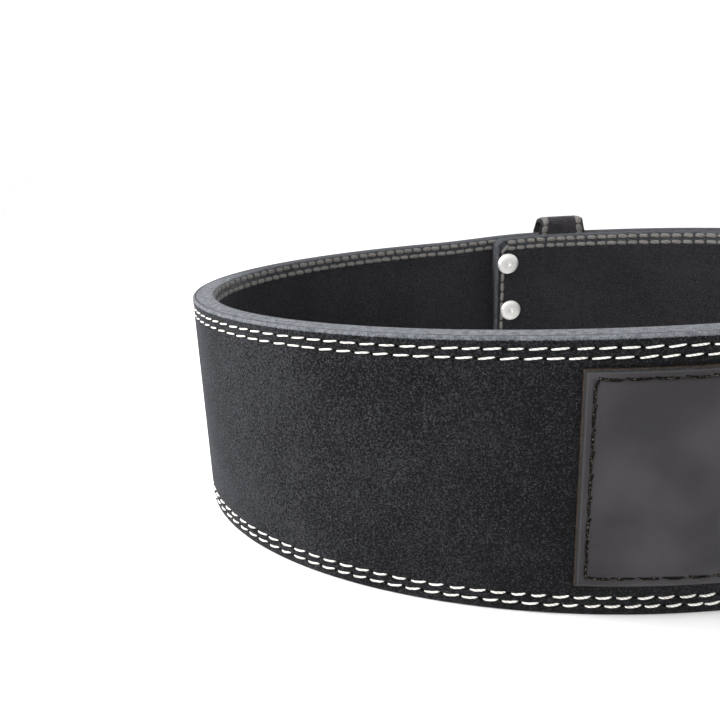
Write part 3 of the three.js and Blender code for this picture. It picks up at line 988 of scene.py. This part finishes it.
# %% The clasp's plate and pins
CLASP_HEIGHT = 76 * MM
CLASP_WALL = 2.5 * MM
CLASP_CORNER = 8 * MM
CLASP_EDGE = 0.9 * MM
CLASP_SEAT = OUTER_FACE + FIT_GAP
CLASP_FACE = CLASP_SEAT + CLASP_WALL
PIN_TIP = OUTER_FACE - WALL_STEP - OUTER_LAYER - 4 * MM
PIN_RADIUS, PIN_HEAD, PIN_CROWN = 2.5 * MM, 4.5 * MM, 0.6 * MM
PIN_SHOULDER = CLASP_SEAT + 1 * MM
PIN_HEIGHTS = (25 * MM, 75 * MM)


def plate():
    """A rounded rectangle of (depth, height), carried from one end of the plate to the other."""
    sweep = np.radians(np.linspace(0, 90, 10))
    ends = np.concatenate([CLASP_EDGE * (1 - np.cos(sweep)), CLASP_CORNER * (1 - np.cos(sweep))])
    level = np.linspace(CLASP_CORNER, CLASP_WIDTH - CLASP_CORNER, 40)
    stations = np.unique(np.round(np.concatenate([ends, CLASP_WIDTH - ends, level]), 7))
    nearest = np.minimum(stations, CLASP_WIDTH - stations)
    cut = corner_cut(nearest, CLASP_CORNER)[:, None]
    close = np.sqrt(1 - (1 - np.clip(nearest / CLASP_EDGE, 0, 1)) ** 2)[:, None]
    angle = np.radians(np.concatenate([np.linspace(q, q + 90, 6) for q in (-90, 0, 90, 180)]))
    core_depth = np.repeat([CLASP_WALL - CLASP_EDGE, CLASP_WALL - CLASP_EDGE, CLASP_EDGE, CLASP_EDGE], 6)
    upper = np.repeat([0, 1, 1, 0], 6)
    low = (STRAP_HEIGHT - CLASP_HEIGHT) / 2 + cut
    core_height = np.where(upper, STRAP_HEIGHT - low - CLASP_EDGE, low + CLASP_EDGE)
    depth = CLASP_SEAT + core_depth + CLASP_EDGE * np.cos(angle) * close
    height = core_height + CLASP_EDGE * np.sin(angle) * close
    return on_strap(CLASP_START + stations[:, None], depth, height)


clasp = surface("clasp_plate", plate(), finish=clasp_finish)
weld(clasp)
stand_for(clasp, "clasp_metal", "clasp")
pin_profile = [(0.02 * MM, PIN_TIP), (2.1 * MM, PIN_TIP), (PIN_RADIUS, PIN_TIP + 0.4 * MM),
               (PIN_RADIUS, PIN_SHOULDER), (PIN_HEAD, PIN_SHOULDER), (PIN_HEAD, CLASP_FACE),
               *arc_profile(0.5 * MM, 4.4 * MM, CLASP_FACE + PIN_CROWN, CLASP_FACE)[::-1],
               (0.02 * MM, CLASP_FACE + PIN_CROWN)]
pins = surface("clasp_pins", np.stack([
    turned(pin_profile, CLASP_START + CLASP_WIDTH / 2, height) for height in PIN_HEIGHTS]),
    finish=clasp_finish)
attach(pins, "root")

# %% [markdown]
# ## Studio
# The belt stands on a plain pale floor that curves up all round into a wall, so no
# horizon shows. A wide lamp hangs high on the left, a weaker one stands at the front left,
# and the pale surroundings fill the shadows.

# %% Floor
floor_finish = Finish("pale floor", Roughness=0.9, Specular_IOR_Level=0.1)
floor_finish.set(Base_Color=floor_finish.blend(
    floor_finish.noise(3), (0.955, 0.955, 0.955), (0.97, 0.97, 0.97)))
FLOOR_SIDES = 64
sweep = np.radians(np.linspace(0, 90, 16))
floor_radius = np.concatenate([[0.001, 0.3, 0.8, 1.4], 1.6 + 1.2 * np.sin(sweep), [2.8]])
floor_height = np.concatenate([[0, 0, 0, 0], 1.2 - 1.2 * np.cos(sweep), [2.6]])
about = np.linspace(0, 2 * np.pi, FLOOR_SIDES, endpoint=False)
floor_points = np.stack([
    floor_radius[:, None] * np.cos(about), floor_radius[:, None] * np.sin(about),
    np.broadcast_to(floor_height[:, None], (len(floor_radius), FLOOR_SIDES))], -1)
dish_index = np.arange(len(floor_radius) * FLOOR_SIDES).reshape(-1, FLOOR_SIDES)
dish_index = np.hstack([dish_index, dish_index[:, :1]])
dish_quads = np.stack([
    dish_index[:-1, :-1], dish_index[1:, :-1], dish_index[1:, 1:], dish_index[:-1, 1:]], -1)
dish_faces = dish_quads.reshape(-1, 4).tolist() + [dish_index[0, :-1].tolist()]
dish_mesh = bpy.data.meshes.new("floor")
dish_mesh.from_pydata(floor_points.reshape(-1, 3), [], dish_faces)
dish_mesh.polygons.foreach_set("use_smooth", np.ones(len(dish_mesh.polygons), dtype=bool))
dish_mesh.materials.append(floor_finish.material)
floor = bpy.data.objects.new("floor", dish_mesh)
bpy.context.scene.collection.objects.link(floor)


# %% Lights
def lamp(name, place, aim, size, power):
    """A square area light at a place, turned so that it shines at aim."""
    light = bpy.data.lights.new(name, "AREA")
    light.size = size
    light.energy = power
    lamp_object = bpy.data.objects.new(name, light)
    direction = np.subtract(place, aim)
    direction = direction / np.linalg.norm(direction)
    side = np.cross((0, 1, 0.01), direction)
    side = side / np.linalg.norm(side)
    turn = Matrix(np.stack([side, np.cross(direction, side), direction], -1).tolist())
    lamp_object.matrix_world = Matrix.Translation(place) @ turn.to_4x4()
    bpy.context.scene.collection.objects.link(lamp_object)


lamp("top", (-0.75, 0.15, 0.72), (-0.05, 0, 0.05), 0.8, 14)
lamp("front", (-1.2, -1.2, 0.8), (0, 0, 0.05), 1.0, 10)
world = bpy.data.worlds.new("soft white")
world.use_nodes = True
world.node_tree.nodes["Background"].inputs["Color"].default_value = (1, 1, 1, 1)
world.node_tree.nodes["Background"].inputs["Strength"].default_value = 1.0
bpy.context.scene.world = world
bpy.context.scene.view_settings.view_transform = "Standard"

# %% [markdown]
# ## Camera
# The camera stands close to the belt, a little above its rim, looking slightly down,
# with a moderately wide view. Its optical centre lies left of the picture's middle, so
# the lens is shifted sideways.

# %% Camera
CAMERA_PLACE = (-0.1407, -0.2993, 0.1539)
CAMERA_TURN, CAMERA_DOWN, CAMERA_ROLL = -2.132, 16.878, -3.66
camera = bpy.data.objects.new("camera", bpy.data.cameras.new("camera"))
camera.data.sensor_width = 36
camera.data.lens = 31.702
camera.data.shift_x = 0.0833
camera.data.clip_start = 0.01
camera.matrix_world = (
    Matrix.Translation(CAMERA_PLACE) @ Matrix.Rotation(np.radians(CAMERA_TURN), 4, "Z")
    @ Matrix.Rotation(np.radians(90 - CAMERA_DOWN), 4, "X")
    @ Matrix.Rotation(np.radians(CAMERA_ROLL), 4, "Z"))
bpy.context.scene.collection.objects.link(camera)
bpy.context.scene.camera = camera
